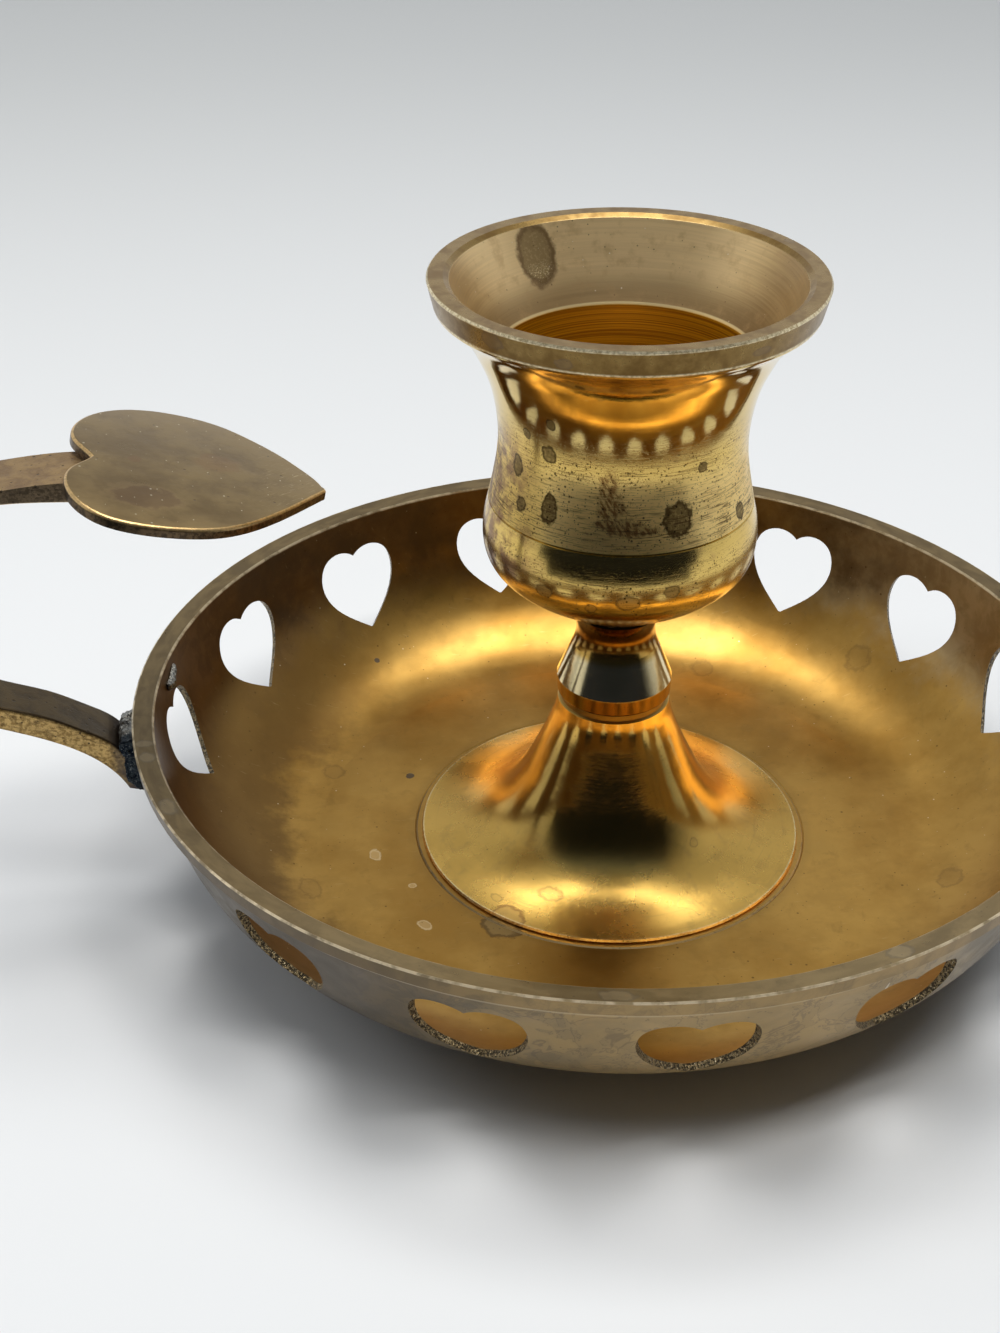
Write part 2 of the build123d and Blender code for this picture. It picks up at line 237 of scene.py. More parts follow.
# ------------------------------------------------------------------ candle cup
def cup_material():
    k = Mat("cup_brass")
    nr = norm_r(k)
    cloud = k.noise(k.P, 0.16, 4, 0.6)
    patch = k.noise(k.P, 0.55, 5, 0.62)
    fine = k.noise(k.P, 3.2, 3, 0.6)
    grain = k.noise(k.P, 9.0, 2, 0.6)
    rag = k.lin(k.noise(k.P, 1.3, 3, 0.6), 0.25, 0.75, -0.28, 0.28)
    inner = k.step(nr, 0.15, -0.15)                       # funnel and bore
    bore = k.m("MULTIPLY", inner, k.step(k.z, 59.25, 58.95))
    lipz = k.m("MULTIPLY", k.step(k.z, 64.0, 64.25), k.step(k.r, 17.3, 17.7))
    liptop = k.m("MULTIPLY", k.step(k.z, 66.25, 66.42), k.step(k.nz, 0.5, 0.85))

    # outer wall: dense pits and short scratches between waist and incised line, and on the belly
    wear = k.m("MAXIMUM", k.m("MULTIPLY", k.step(k.z, 42.6, 45.5), k.step(k.z, 57.0, 52.0)), k.step(k.z, 44.0, 42.0))
    wear = k.m("MULTIPLY", wear, k.lin(k.noise(k.P, 0.3, 3, 0.6), 0.3, 0.58, 0.5, 1.0))
    pit = k.m("MAXIMUM", pits(k, k.P, 2.7, 0.29, 0.72), k.m("MULTIPLY", pits(k, k.P, 5.2, 0.29, 0.72), 0.9))
    pit = k.m("MULTIPLY", pit, wear)
    low_band = k.m("MULTIPLY", k.step(k.z, 44.4, 45.2), k.step(k.z, 48.6, 46.6))
    scr = k.m("MULTIPLY", scratches(k, 0.40, 6.5, 0.525, 0.63), k.m("MULTIPLY", wear, k.lin(low_band, 0, 1, 0.6, 1.0)))
    scr2 = scratches(k, 0.12, 11.0, 0.63, 0.72)
    col = k.mix(cloud, (0.66, 0.44, 0.110), (0.84, 0.61, 0.195))
    col = k.mix(k.m("MULTIPLY", k.step(patch, 0.52, 0.70), 0.45), col, (0.52, 0.335, 0.12))
    flare = k.step(k.z, 52.0, 56.0)
    col = k.mix(k.m("MULTIPLY", flare, 0.8), col, k.mix(cloud, (0.60, 0.43, 0.15), (0.74, 0.57, 0.24)))
    # purplish brown film on the side towards the loop
    left = k.m("MULTIPLY", k.step(k.x, -8.5, -12.2), k.m("MULTIPLY", k.step(patch, 0.36, 0.60), k.step(k.z, 56.0, 50.0)))
    col = k.mix(k.m("MULTIPLY", left, 0.82), col, (0.20, 0.090, 0.052))
    col = k.mix(k.m("MULTIPLY", k.step(k.z, 39.5, 37.0), 0.62), col, (0.26, 0.175, 0.040))
    # waist: lighter gold except on the loop side, partly worn metal and partly a painted sheen
    waist = k.m("MULTIPLY", k.step(k.z, 44.25, 44.45), k.step(k.z, 52.5, 49.0))
    col = k.mix(k.m("MULTIPLY", k.m("MULTIPLY", waist, k.step(k.x, -10.5, -7.0)), 0.6), col, (0.97, 0.72, 0.31))
    # stains with darker outlines
    dark, dark_o = stains(k, [
        (-76.0, 12.15, 47.3, 1.35, 1.55, 90), (-133.7, 12.15, 47.5, 0.85, 1.35, 90), (-134.6, 12.1, 53.0, 0.7, 0.85, 90),
        (-154.9, 12.05, 50.4, 0.75, 1.0, 90), (-63.8, 12.15, 51.9, 0.5, 0.55, 90), (-38.5, 12.6, 45.7, 0.7, 0.85, 90),
        (-131.7, 12.9, 56.4, 0.45, 0.6, 90), (-150.0, 12.4, 46.9, 0.6, 0.7, 90), (-146.5, 12.1, 54.4, 0.4, 0.5, 90)], rag)
    belly, belly_o = stains(k, [(-97.0, 13.45, 39.5, 1.1, 0.8, 90), (-132.3, 13.45, 39.5, 0.9, 0.7, 90),
                                (-79.3, 13.5, 40.4, 0.8, 0.6, 90), (-112.0, 13.3, 38.6, 0.6, 0.5, 90)], rag)
    speck = k.step(fine, 0.50, 0.62)
    col = k.mix(k.m("MULTIPLY", dark, k.lin(speck, 0, 1, 0.86, 0.60)), col, (0.20, 0.135, 0.045))
    col = k.mix(k.m("MULTIPLY", dark_o, 0.85), col, (0.085, 0.05, 0.015))
    col = k.mix(k.m("MULTIPLY", belly, 0.45), col, (0.26, 0.16, 0.05))
    col = k.mix(k.m("MULTIPLY", belly_o, 0.6), col, (0.17, 0.10, 0.03))
    # swirl left by polishing: brown arcs from (-108, 50.5) to (-101, 46.7)
    arc = None
    for th, z, rt, ru in ((-107.0, 50.7, 0.8, 1.5), (-105.4, 48.8, 1.35, 1.5), (-102.4, 47.0, 2.2, 0.75), (-96.0, 46.5, 2.6, 0.5)):
        i, _ = stains(k, [(th, 12.1, z, rt, ru, 90)], k.m("MULTIPLY", rag, 1.6), 0.35)
        arc = i if arc is None else k.m("MAXIMUM", arc, i)
    hatch = k.step(k.noise(k.join(k.m("MULTIPLY", k.m("ADD", k.th, k.m("MULTIPLY", k.z, 0.045)), 36.0), k.m("MULTIPLY", k.z, 1.3), 0.0), 1.0, 3, 0.6), 0.40, 0.56)
    col = k.mix(k.m("MULTIPLY", arc, k.lin(hatch, 0, 1, 0.30, 0.92)), col, (0.22, 0.105, 0.032))
    col = k.mix(k.m("MULTIPLY", scr, 0.82), col, (0.13, 0.075, 0.028))
    col = k.mix(k.m("MULTIPLY", pit, 0.93), col, (0.045, 0.028, 0.010))
    rough = k.lin(cloud, 0.3, 0.7, 0.10, 0.17)
    rough = k.m("ADD", rough, k.m("MULTIPLY", wear, 0.05))
    rough = k.m("SUBTRACT", rough, k.m("MULTIPLY", flare, 0.06))
    rough = k.m("ADD", rough, k.m("MULTIPLY", waist, k.lin(k.noise(k.P, 0.3, 3, 0.6), 0.3, 0.6, 0.16, 0.26)))
    rough = k.m("ADD", rough, k.m("MULTIPLY", k.m("MAXIMUM", dark, belly), 0.16))
    rough = k.m("ADD", rough, k.m("MULTIPLY", scr, 0.12))

    # lip ring and its top
    lip_col = k.mix(k.step(patch, 0.38, 0.66), (0.28, 0.176, 0.050), (0.19, 0.108, 0.024))
    lip_st, lip_so = stains(k, [(-140.6, 18.3, 65.7, 1.1, 0.8, 90), (20.9, 18.05, 66.7, 0.6, 0.35, 0),
                                (-118.0, 18.4, 65.0, 0.8, 0.5, 90), (-62.0, 18.4, 65.3, 0.9, 0.4, 90)], rag)
    lip_col = k.mix(k.m("MULTIPLY", lip_st, 0.5), lip_col, (0.22, 0.15, 0.075))
    lip_col = k.mix(k.m("MULTIPLY", lip_so, 0.5), lip_col, (0.16, 0.10, 0.05))
    lip_col = k.mix(k.m("MULTIPLY", pits(k, k.P, 2.2, 0.18, 0.22), 0.5), lip_col, (0.15, 0.09, 0.035))
    # painted highlights: thin bright lines on the lip ring's outer top edge and lower edge
    edge = k.m("MAXIMUM", k.m("MULTIPLY", k.step(k.r, 18.42, 18.52), k.step(k.z, 66.38, 66.48)),
               k.m("MULTIPLY", k.step(k.z, 64.45, 64.25), k.step(k.z, 63.95, 64.1)))
    lip_col = k.mix(k.m("MULTIPLY", edge, k.lin(fine, 0.35, 0.6, 0.3, 0.95)), lip_col, (0.93, 0.80, 0.52))
    lip = k.m("MAXIMUM", lipz, liptop)
    col = k.mix(lip, col, lip_col)
    rough = k.mixf(lip, rough, k.lin(patch, 0.3, 0.7, 0.24, 0.36))

    # funnel: pinkish gold with turned streaks, and one tarnished patch
    lines = turned(k, 3.4, 0.10)
    fun = k.mix(k.step(lines, 0.30, 0.72), (0.44, 0.285, 0.112), (0.66, 0.46, 0.200))
    # painted light: the funnel is lighter at the back
    fun = k.mix(k.m("MULTIPLY", k.step(k.y, 2.0, 12.0), 0.65), fun, (0.90, 0.68, 0.36))
    fun = k.mix(k.m("MULTIPLY", k.m("MULTIPLY", k.step(k.x, 4.0, 13.0), k.step(k.y, 9.0, 2.0)), 0.55), fun, (0.22, 0.135, 0.055))
    # painted shade: the funnel is darker at the front left
    fun = k.mix(k.m("MULTIPLY", k.m("MULTIPLY", k.step(k.x, -3.0, -12.0), k.step(k.y, 10.0, 3.0)), 0.45), fun, (0.26, 0.155, 0.062))
    fun = k.mix(k.step(k.z, 62.8, 59.6, 0.0, 0.78), fun, (0.17, 0.095, 0.028))
    fun = k.mix(k.m("MULTIPLY", k.step(patch, 0.50, 0.72), 0.45), fun, (0.44, 0.28, 0.12))
    fst, fso = stains(k, [(115.6, 15.2, 63.9, 1.95, 3.0, 58)], k.m("MULTIPLY", rag, 0.45), 0.06)
    fun = k.mix(k.m("MULTIPLY", fst, k.lin(speck, 0, 1, 0.9, 0.72)), fun, (0.27, 0.185, 0.075))
    fun = k.mix(k.m("MULTIPLY", fst, k.m("MULTIPLY", k.step(grain, 0.54, 0.62), k.step(k.z, 63.6, 62.2))), fun, (0.85, 0.70, 0.40))
    fun = k.mix(k.m("MULTIPLY", fso, 0.75), fun, (0.17, 0.10, 0.04))
    fun = k.mix(k.m("MULTIPLY", pits(k, k.P, 1.9, 0.16, 0.35), 0.7), fun, (0.15, 0.09, 0.04))
    fun = k.mix(k.m("MULTIPLY", pits(k, k.vec("ADD", k.P, (31.0, 7.0, 3.0)), 1.1, 0.08, 0.35), 0.8), fun, (0.95, 0.85, 0.66))
    funm = k.m("MULTIPLY", inner, k.m("SUBTRACT", 1.0, lip))
    col = k.mix(funm, col, fun)
    rough = k.mixf(funm, rough, k.lin(lines, 0.3, 0.7, 0.30, 0.42))
    # bore: orange brown, turned, darker at its ends, with a sharp bright mouth
    bc = k.mix(k.step(turned(k, 6.0, 0.03), 0.35, 0.66), (0.32, 0.125, 0.003), (0.64, 0.31, 0.009))
    bc = k.mix(k.step(k.z, 55.0, 41.0), bc, (0.16, 0.08, 0.02))
    col = k.mix(bore, col, bc)
    rough = k.mixf(bore, rough, 0.3)
    mouth = k.m("MULTIPLY", inner, k.m("MULTIPLY", k.step(k.z, 59.0, 59.1), k.step(k.z, 59.32, 59.2)))
    col = k.mix(k.m("MULTIPLY", mouth, 0.6), col, (0.95, 0.75, 0.38))

    # relief
    h = k.m("ADD", k.m("MULTIPLY", turned(k, 5.0, 0.2), 0.35), k.m("MULTIPLY", grain, 0.25))
    h = k.m("SUBTRACT", h, k.m("MULTIPLY", pit, 1.6))
    h = k.m("SUBTRACT", h, k.m("MULTIPLY", k.m("MAXIMUM", scr, k.m("MULTIPLY", scr2, 0.25)), 0.5))
    b = k.bump(h, 0.012, 0.55)
    b = k.bump(k.noise(k.P, 0.5, 3, 0.5), 0.035, 0.35, b)
    k.put(k.bsdf.inputs["Metallic"], k.m("SUBTRACT", 1.0, k.m("ADD", k.m("MULTIPLY", funm, 0.45), k.m("MULTIPLY", lip, 0.3))))
    return k.done(col, rough, b)


# ------------------------------------------------------------------ pedestal
def pedestal_material():
    k = Mat("pedestal_brass")
    cloud = k.noise(k.P, 0.2, 4, 0.6)
    patch = k.noise(k.P, 0.7, 5, 0.62)
    fine = k.noise(k.P, 3.4, 3, 0.6)
    rag = k.lin(k.noise(k.P, 1.2, 3, 0.6), 0.25, 0.75, -0.25, 0.25)
    lines = turned(k, 4.5, 0.12)
    foot = k.step(k.r, 9.5, 13.0)
    col = k.mix(cloud, (0.60, 0.355, 0.070), (0.76, 0.49, 0.13))
    col = k.mix(foot, col, k.mix(cloud, (0.64, 0.385, 0.085), (0.84, 0.54, 0.14)))
    col = k.mix(k.m("MULTIPLY", k.step(patch, 0.50, 0.72), 0.4), col, (0.50, 0.31, 0.09))
    col = k.mix(k.m("MULTIPLY", k.step(lines, 0.56, 0.74), 0.28), col, (0.45, 0.28, 0.09))
    trum = k.m("MULTIPLY", k.step(k.z, 7.0, 10.0), k.step(k.z, 19.5, 16.0))
    col = k.mix(k.m("MULTIPLY", trum, 0.62), col, (0.33, 0.225, 0.065))
    # neck: a browner band, then painted shade from the cup that darkens the upper neck nearly to black
    neck = k.step(k.z, 27.2, 28.0)
    neck_shade = k.step(k.z, 27.7, 28.7)
    col = k.mix(k.m("MULTIPLY", neck, 0.45), col, (0.50, 0.27, 0.055))
    col = k.mix(k.m("MULTIPLY", neck_shade, 0.88), col, (0.12, 0.048, 0.004))
    # painted reflection: the knop's facet band is pale and bright
    facet = k.m("MULTIPLY", k.step(k.z, 23.4, 23.7), k.step(k.z, 27.4, 26.6))
    col = k.mix(k.m("MULTIPLY", facet, 0.75), col, (0.95, 0.82, 0.50))
    # painted shade in the groove under the knop's band
    groove = k.m("MULTIPLY", k.step(k.z, 20.85, 21.0), k.step(k.z, 22.0, 21.86))
    col = k.mix(k.m("MULTIPLY", groove, 0.7), col, (0.22, 0.12, 0.03))
    seam = k.step(k.z, 31.2, 31.35)
    col = k.mix(k.m("MULTIPLY", seam, 0.8), col, (0.16, 0.08, 0.02))
    # foot: ring mark, dimple, stain over the edge, tiny dark dots
    ring, ring_o = stains(k, [(-122.6, 15.6, 5.4, 1.25, 0.75, -14), (-53.5, 11.5, 7.5, 0.55, 0.45, -40), (-139.0, 18.4, 4.8, 0.7, 0.4, -6)], rag, 0.2)
    col = k.mix(k.m("MULTIPLY", ring_o, 0.55), col, (0.34, 0.20, 0.06))
    col = k.mix(k.m("MULTIPLY", ring, 0.22), col, (0.40, 0.25, 0.08))
    st, so = stains(k, [(-131.2, 19.9, 4.7, 1.75, 1.35, -4)], rag, 0.15)
    col = k.mix(k.m("MULTIPLY", st, 0.42), col, (0.44, 0.27, 0.10))
    col = k.mix(k.m("MULTIPLY", so, 0.7), col, (0.27, 0.13, 0.04))
    dots = k.m("MULTIPLY", pits(k, k.P, 1.5, 0.13, 0.32), foot)
    col = k.mix(k.m("MULTIPLY", dots, 0.7), col, (0.16, 0.09, 0.03))
    pit = pits(k, k.P, 3.4, 0.2, 0.25)
    col = k.mix(k.m("MULTIPLY", pit, 0.5), col, (0.2, 0.11, 0.03))
    # painted highlight along the foot's outer edge
    edge = k.m("MULTIPLY", k.step(k.r, 19.95, 20.1), k.step(k.z, 4.75, 4.6))
    col = k.mix(k.m("MULTIPLY", edge, k.lin(fine, 0.35, 0.6, 0.3, 1.0)), col, (0.95, 0.80, 0.45))
    rough = k.lin(cloud, 0.3, 0.7, 0.10, 0.17)
    rough = k.m("ADD", rough, k.m("MULTIPLY", k.step(k.r, 9.0, 14.0), 0.14))
    rough = k.m("ADD", rough, k.m("MULTIPLY", st, 0.1))
    rough = k.m("ADD", rough, k.m("MULTIPLY", groove, 0.2))
    h = k.m("ADD", k.m("MULTIPLY", lines, 0.6), k.m("MULTIPLY", fine, 0.25))
    h = k.m("SUBTRACT", h, k.m("MULTIPLY", pit, 0.8))
    b = k.bump(h, 0.012, 0.5)
    b = k.bump(k.noise(k.P, 0.45, 3, 0.5), 0.05, 0.4, b)
    return k.done(col, rough, b)


# ------------------------------------------------------------------ pan
def pan_material():
    k = Mat("pan_brass")
    nr = norm_r(k)
    cloud = k.noise(k.P, 0.07, 5, 0.6)
    cloud2 = k.noise(k.vec("ADD", k.P, (57.0, 12.0, 9.0)), 0.16, 5, 0.62)
    patch = k.noise(k.P, 0.42, 6, 0.62, 0.6)
    fine = k.noise(k.P, 2.6, 4, 0.6)
    grain = k.noise(k.P, 8.0, 2, 0.6)
    rag = k.lin(k.noise(k.P, 0.9, 3, 0.6), 0.25, 0.75, -0.28, 0.28)

    # inside: satin gold, browner up the wall
    col = k.mix(k.step(cloud, 0.34, 0.66), (0.415, 0.220, 0.044), (0.58, 0.336, 0.082))
    col = k.mix(k.m("MULTIPLY", k.step(cloud2, 0.46, 0.66), 0.45), col, (0.37, 0.215, 0.052))
    col = k.mix(k.m("MULTIPLY", k.step(patch, 0.56, 0.72), 0.35), col, (0.31, 0.175, 0.043))
    zz = k.m("ADD", k.z, k.lin(cloud2, 0.3, 0.7, -2.2, 2.2))
    up = k.step(zz, 8.5, 16.5)
    wall = k.mix(k.step(patch, 0.36, 0.64), (0.235, 0.140, 0.062), (0.34, 0.205, 0.085))
    # painted shade and dark reflection on the left: the floor and the foot of the wall get darker and browner towards
    # -x
    lb = k.m("MULTIPLY", k.step(k.x, -16.0, -34.0), k.step(k.m("ADD", k.r, k.lin(cloud2, 0.3, 0.7, -3.0, 3.0)), 33.0, 38.0))
    col = k.mix(k.m("MULTIPLY", k.step(k.x, -8.0, -30.0), 0.12), col, (0.27, 0.145, 0.030))
    col = k.mix(k.m("MULTIPLY", lb, 0.7), col, (0.15, 0.080, 0.026))
    # painted light: the inner wall is paler towards +x
    wall = k.mix(k.m("MULTIPLY", k.step(k.x, 12.0, 36.0), 0.85), wall, k.mix(k.step(patch, 0.36, 0.64), (0.56, 0.42, 0.230), (0.74, 0.58, 0.33)))
    # painted dark reflection: the inner wall is darker towards -x
    wall = k.mix(k.m("MULTIPLY", k.step(k.x, -18.0, -40.0), 0.45), wall, k.mix(k.step(patch, 0.36, 0.64), (0.105, 0.056, 0.022), (0.17, 0.092, 0.036)))
    # painted dark reflection: the upper back wall is darker
    top = k.m("MULTIPLY", k.step(zz, 12.5, 17.0), k.step(k.y, 14.0, 32.0))
    wall = k.mix(k.m("MULTIPLY", top, k.lin(cloud2, 0.35, 0.6, 0.25, 0.85)), wall, (0.105, 0.075, 0.046))
    col = k.mix(k.m("MULTIPLY", up, 0.8), col, wall)
    rag2 = k.m("MULTIPLY", rag, 1.2)
    pale, pale_o = stains(k, [(-145.8, 26.0, 4.2, 0.85, 0.55, 0), (-174.7, 25.7, 4.2, 0.9, 0.6, 0), (-160.0, 23.6, 4.2, 0.4, 0.35, 0)], rag2)
    dark, dark_o = stains(k, [(150.5, 23.7, 4.2, 0.55, 0.45, 0), (124.5, 39.7, 7.0, 0.35, 0.35, 20), (-96.0, 27.8, 4.2, 0.35, 0.3, 0)], rag2)
    faint, faint_o = stains(k, [(-167.5, 33.5, 4.6, 1.6, 1.1, 8), (-24.6, 36.5, 5.2, 1.7, 1.2, 12), (34.2, 41.5, 8.3, 1.5, 1.6, 35),
                                (-118.0, 31.0, 4.3, 1.3, 0.8, 2), (-62.0, 33.0, 4.5, 1.9, 0.9, 6), (-150.0, 37.0, 5.3, 1.3, 1.3, 14),
                                (60.0, 34.0, 4.6, 1.4, 1.4, 8), (155.0, 32.0, 4.4, 1.2, 1.2, 4)], rag2)
    col = k.mix(k.m("MULTIPLY", faint, 0.22), col, (0.30, 0.17, 0.05))
    col = k.mix(k.m("MULTIPLY", faint_o, 0.35), col, (0.26, 0.145, 0.045))
    col = k.mix(k.m("MULTIPLY", pale, 0.35), col, (0.70, 0.54, 0.29))
    col = k.mix(k.m("MULTIPLY", pale_o, 0.5), col, (0.78, 0.62, 0.36))
    col = k.mix(k.m("MULTIPLY", dark, 0.85), col, (0.06, 0.055, 0.05))
    specks = k.m("MAXIMUM", pits(k, k.P, 0.75, 0.10, 0.45), pits(k, k.P, 1.7, 0.12, 0.35))
    col = k.mix(k.m("MULTIPLY", specks, 0.7), col, (0.12, 0.065, 0.02))
    # fine pale specks and hairlines
    bright = pits(k, k.vec("ADD", k.P, (13.0, 5.0, 0.0)), 0.8, 0.07, 0.3)
    col = k.mix(k.m("MULTIPLY", bright, 0.7), col, (0.95, 0.83, 0.55))
    hair = k.step(k.noise(k.join(k.m("MULTIPLY", k.x, 0.35), k.m("MULTIPLY", k.y, 4.5), k.z), 1.0, 2, 0.7), 0.66, 0.76)
    col = k.mix(k.m("MULTIPLY", hair, 0.16), col, (0.85, 0.66, 0.32))
    rough = k.lin(cloud2, 0.3, 0.7, 0.29, 0.39)
    rough = k.m("ADD", rough, k.m("MULTIPLY", up, 0.03))
    rough = k.m("ADD", rough, k.m("MULTIPLY", k.m("MAXIMUM", pale, dark), 0.12))
    # a faint darker ring on the floor just outside the pedestal's foot
    ringm = k.m("MULTIPLY", k.step(k.r, 20.2, 20.5), k.step(k.r, 22.2, 21.2))
    col = k.mix(k.m("MULTIPLY", ringm, 0.15), col, (0.20, 0.12, 0.04))
    st, so = stains(k, [(-131.2, 21.0, 4.2, 2.0, 1.6, 0)], k.m("MULTIPLY", rag, 0.8), 0.10)
    col = k.mix(k.m("MULTIPLY", st, 0.45), col, (0.24, 0.19, 0.10))
    col = k.mix(k.m("MULTIPLY", so, 0.75), col, (0.15, 0.085, 0.03))

    # outside: mottled brown grey with irregular contour lines
    om = k.noise(k.P, 0.17, 4, 0.58, 0.8)
    om2 = k.noise(k.vec("ADD", k.P, (9.0, 41.0, 3.0)), 0.36, 4, 0.6, 0.5)
    out = k.mix(k.step(om, 0.36, 0.62), (0.235, 0.170, 0.080), (0.375, 0.252, 0.096))
    out = k.mix(k.m("MULTIPLY", k.step(om2, 0.50, 0.60), 0.50), out, (0.185, 0.142, 0.078))
    out = k.mix(k.m("MULTIPLY", k.step(om2, 0.46, 0.38), 0.40), out, (0.37, 0.230, 0.080))
    # painted light and shade: the outer wall is lighter near x = 4 (the front centre) and darker towards the sides
    ax = k.m("ABSOLUTE", k.m("ADD", k.x, -4.0))
    out = k.mix(k.m("MULTIPLY", k.step(ax, 24.0, 6.0), 0.50), out, (0.60, 0.40, 0.155))
    out = k.mix(k.m("MULTIPLY", k.step(ax, 20.0, 40.0), 0.72), out, (0.110, 0.076, 0.036))
    shade = k.step(ax, 14.0, 36.0, 0.04, 0.64)
    line = k.m("MULTIPLY", k.step(om, 0.488, 0.50), k.step(om, 0.520, 0.508))
    line2 = k.m("MULTIPLY", k.step(om2, 0.548, 0.556), k.step(om2, 0.572, 0.564))
    out = k.mix(k.m("MULTIPLY", k.m("MAXIMUM", line, line2), 0.42), out, (0.13, 0.09, 0.05))
    out = k.mix(k.m("MULTIPLY", pits(k, k.P, 1.5, 0.16, 0.3), 0.55), out, (0.11, 0.075, 0.04))
    # smoother band round the rim
    bandm = k.step(k.z, 20.85, 20.95)
    out = k.mix(k.m("MULTIPLY", bandm, 0.75), out, k.mix(k.step(om2, 0.40, 0.60), (0.345, 0.228, 0.092), (0.26, 0.176, 0.076)))
    # painted shade: darker still towards the sides
    out = k.mix(shade, out, (0.035, 0.024, 0.012))
    # thin turned groove under the band, darkened with painted shade, and a painted highlight on its lower lip
    gro = k.m("MULTIPLY", k.step(k.z, 20.45, 20.6), k.step(k.z, 20.95, 20.8))
    out = k.mix(k.m("MULTIPLY", gro, 0.75), out, (0.085, 0.08, 0.08))
    gl = k.m("MULTIPLY", k.step(k.z, 20.1, 20.25), k.step(k.z, 20.5, 20.35))
    out = k.mix(k.m("MULTIPLY", gl, 0.35), out, (0.66, 0.54, 0.36))
    # scratch
    sc, _ = stains(k, [(-71.0, 47.9, 18.3, 0.12, 1.0, 80)], k.m("MULTIPLY", rag, 0.3))
    out = k.mix(k.m("MULTIPLY", sc, 0.7), out, (0.85, 0.78, 0.62))
    outm = k.m("MAXIMUM", k.step(nr, 0.35, 0.55), k.step(k.nz, -0.15, -0.4))
    col = k.mix(outm, col, out)
    rough = k.mixf(outm, rough, k.lin(om2, 0.3, 0.7, 0.28, 0.40))

    # rim ring's top: greyish brown, in patches, with thin bright edges
    rim = k.m("MULTIPLY", k.step(k.z, 22.05, 22.16), k.step(nr, 0.6, 0.45))
    rv = k.join(k.m("MULTIPLY", k.th, 14.0), k.m("MULTIPLY", k.r, 0.9), 0.0)
    rm = k.noise(rv, 1.0, 4, 0.6, 0.5)
    rc = k.mix(k.step(rm, 0.36, 0.64), (0.152, 0.103, 0.043), (0.208, 0.145, 0.063))
    # painted light: the rim is lighter at the front
    rc = k.mix(k.m("MULTIPLY", k.step(k.y, -12.0, -42.0), 0.45), rc, (0.33, 0.240, 0.112))
    rc = k.mix(k.m("MULTIPLY", k.step(cloud2, 0.50, 0.60), 0.35), rc, (0.125, 0.088, 0.042))
    rc = k.mix(k.m("MULTIPLY", pits(k, k.P, 1.4, 0.15, 0.35), 0.6), rc, (0.12, 0.09, 0.05))
    fr, fo = stains(k, [(-174.0, 48.3, 22.3, 0.55, 0.9, 0), (-160.5, 48.3, 22.3, 1.3, 0.75, 0), (-171.0, 48.3, 22.3, 0.9, 0.7, 0), (-100.0, 48.4, 22.3, 1.6, 0.7, 0), (-70.0, 48.2, 22.3, 1.2, 0.8, 0)], rag)
    rc = k.mix(k.m("MULTIPLY", fr, 0.25), rc, (0.46, 0.37, 0.23))
    rc = k.mix(k.m("MULTIPLY", fo, 0.45), rc, (0.14, 0.11, 0.07))
    # ragged boundary to the golden inside
    rr = k.m("ADD", k.r, k.lin(k.noise(k.P, 0.8, 4, 0.65), 0.3, 0.7, -0.16, 0.16))
    rim = k.m("MULTIPLY", rim, k.step(rr, 47.22, 47.34))
    col = k.mix(rim, col, rc)
    rough = k.mixf(rim, rough, k.lin(rm, 0.3, 0.7, 0.27, 0.40))
    # thin bright edges: rubbed metal with a painted highlight on the rim's outer and inner edges
    eo = k.m("MULTIPLY", k.step(k.r, 49.20, 49.28), k.step(k.z, 22.16, 22.24))
    ei = k.m("MULTIPLY", k.m("MULTIPLY", k.step(k.r, 47.12, 47.2), k.step(k.r, 47.46, 47.36)), k.step(k.z, 21.85, 21.98))
    edge_wear_and_glint = k.lin(k.noise(k.P, 0.7, 3, 0.6), 0.38, 0.58, 0.25, 1.0)
    col = k.mix(k.m("MULTIPLY", eo, edge_wear_and_glint), col, (0.80, 0.66, 0.44))
    col = k.mix(k.m("MULTIPLY", ei, k.m("MULTIPLY", edge_wear_and_glint, 0.7)), col, (0.74, 0.60, 0.38))

    # cut faces of the hearts: coarse, granular, sparkling
    a = math.radians(28.0)
    nw = k.m("SUBTRACT", k.m("MULTIPLY", nr, math.cos(a)), k.m("MULTIPLY", k.nz, math.sin(a)))
    cut = k.step(k.m("ABSOLUTE", nw), 0.82, 0.74)
    cut = k.m("MULTIPLY", cut, k.m("MULTIPLY", k.step(k.r, 39.5, 40.0), k.m("MULTIPLY", k.step(k.z, 7.4, 7.6), k.step(k.z, 19.9, 19.7))))
    g1 = k.noise(k.P, 4.2, 3, 0.7)
    g2 = k.voro(k.P, 5.5)
    cc = k.mix(k.step(g1, 0.46, 0.60), (0.05, 0.036, 0.018), (0.46, 0.34, 0.17))
    # painted glints: pale dots on the cut faces
    cc = k.mix(k.m("MULTIPLY", k.step(g2, 0.30, 0.18), k.step(g1, 0.52, 0.62)), cc, (0.96, 0.88, 0.66))
    col = k.mix(cut, col, cc)
    rough = k.mixf(cut, rough, k.lin(g1, 0.4, 0.6, 0.5, 0.24))

    h = k.m("ADD", k.m("MULTIPLY", grain, 0.3), k.m("MULTIPLY", fine, 0.4))
    h = k.m("SUBTRACT", h, k.m("MULTIPLY", specks, 0.6))
    h = k.m("ADD", h, k.m("MULTIPLY", turned(k, 3.0, 0.06), 0.35))
    b = k.bump(h, 0.012, 0.5)
    b = k.bump(k.noise(k.P, 0.28, 3, 0.5), 0.08, 0.35, b)
    b = k.bump(k.m("MULTIPLY", k.m("ADD", g1, k.m("MULTIPLY", g2, -0.8)), cut), 0.16, 0.9, b)
    metal = k.m("SUBTRACT", 1.0, k.m("MULTIPLY", outm, 0.5))
    metal = k.mixf(rim, metal, 0.72)
    metal = k.mixf(cut, metal, 0.6)
    k.put(k.bsdf.inputs["Metallic"], metal)
    return k.done(col, rough, b)


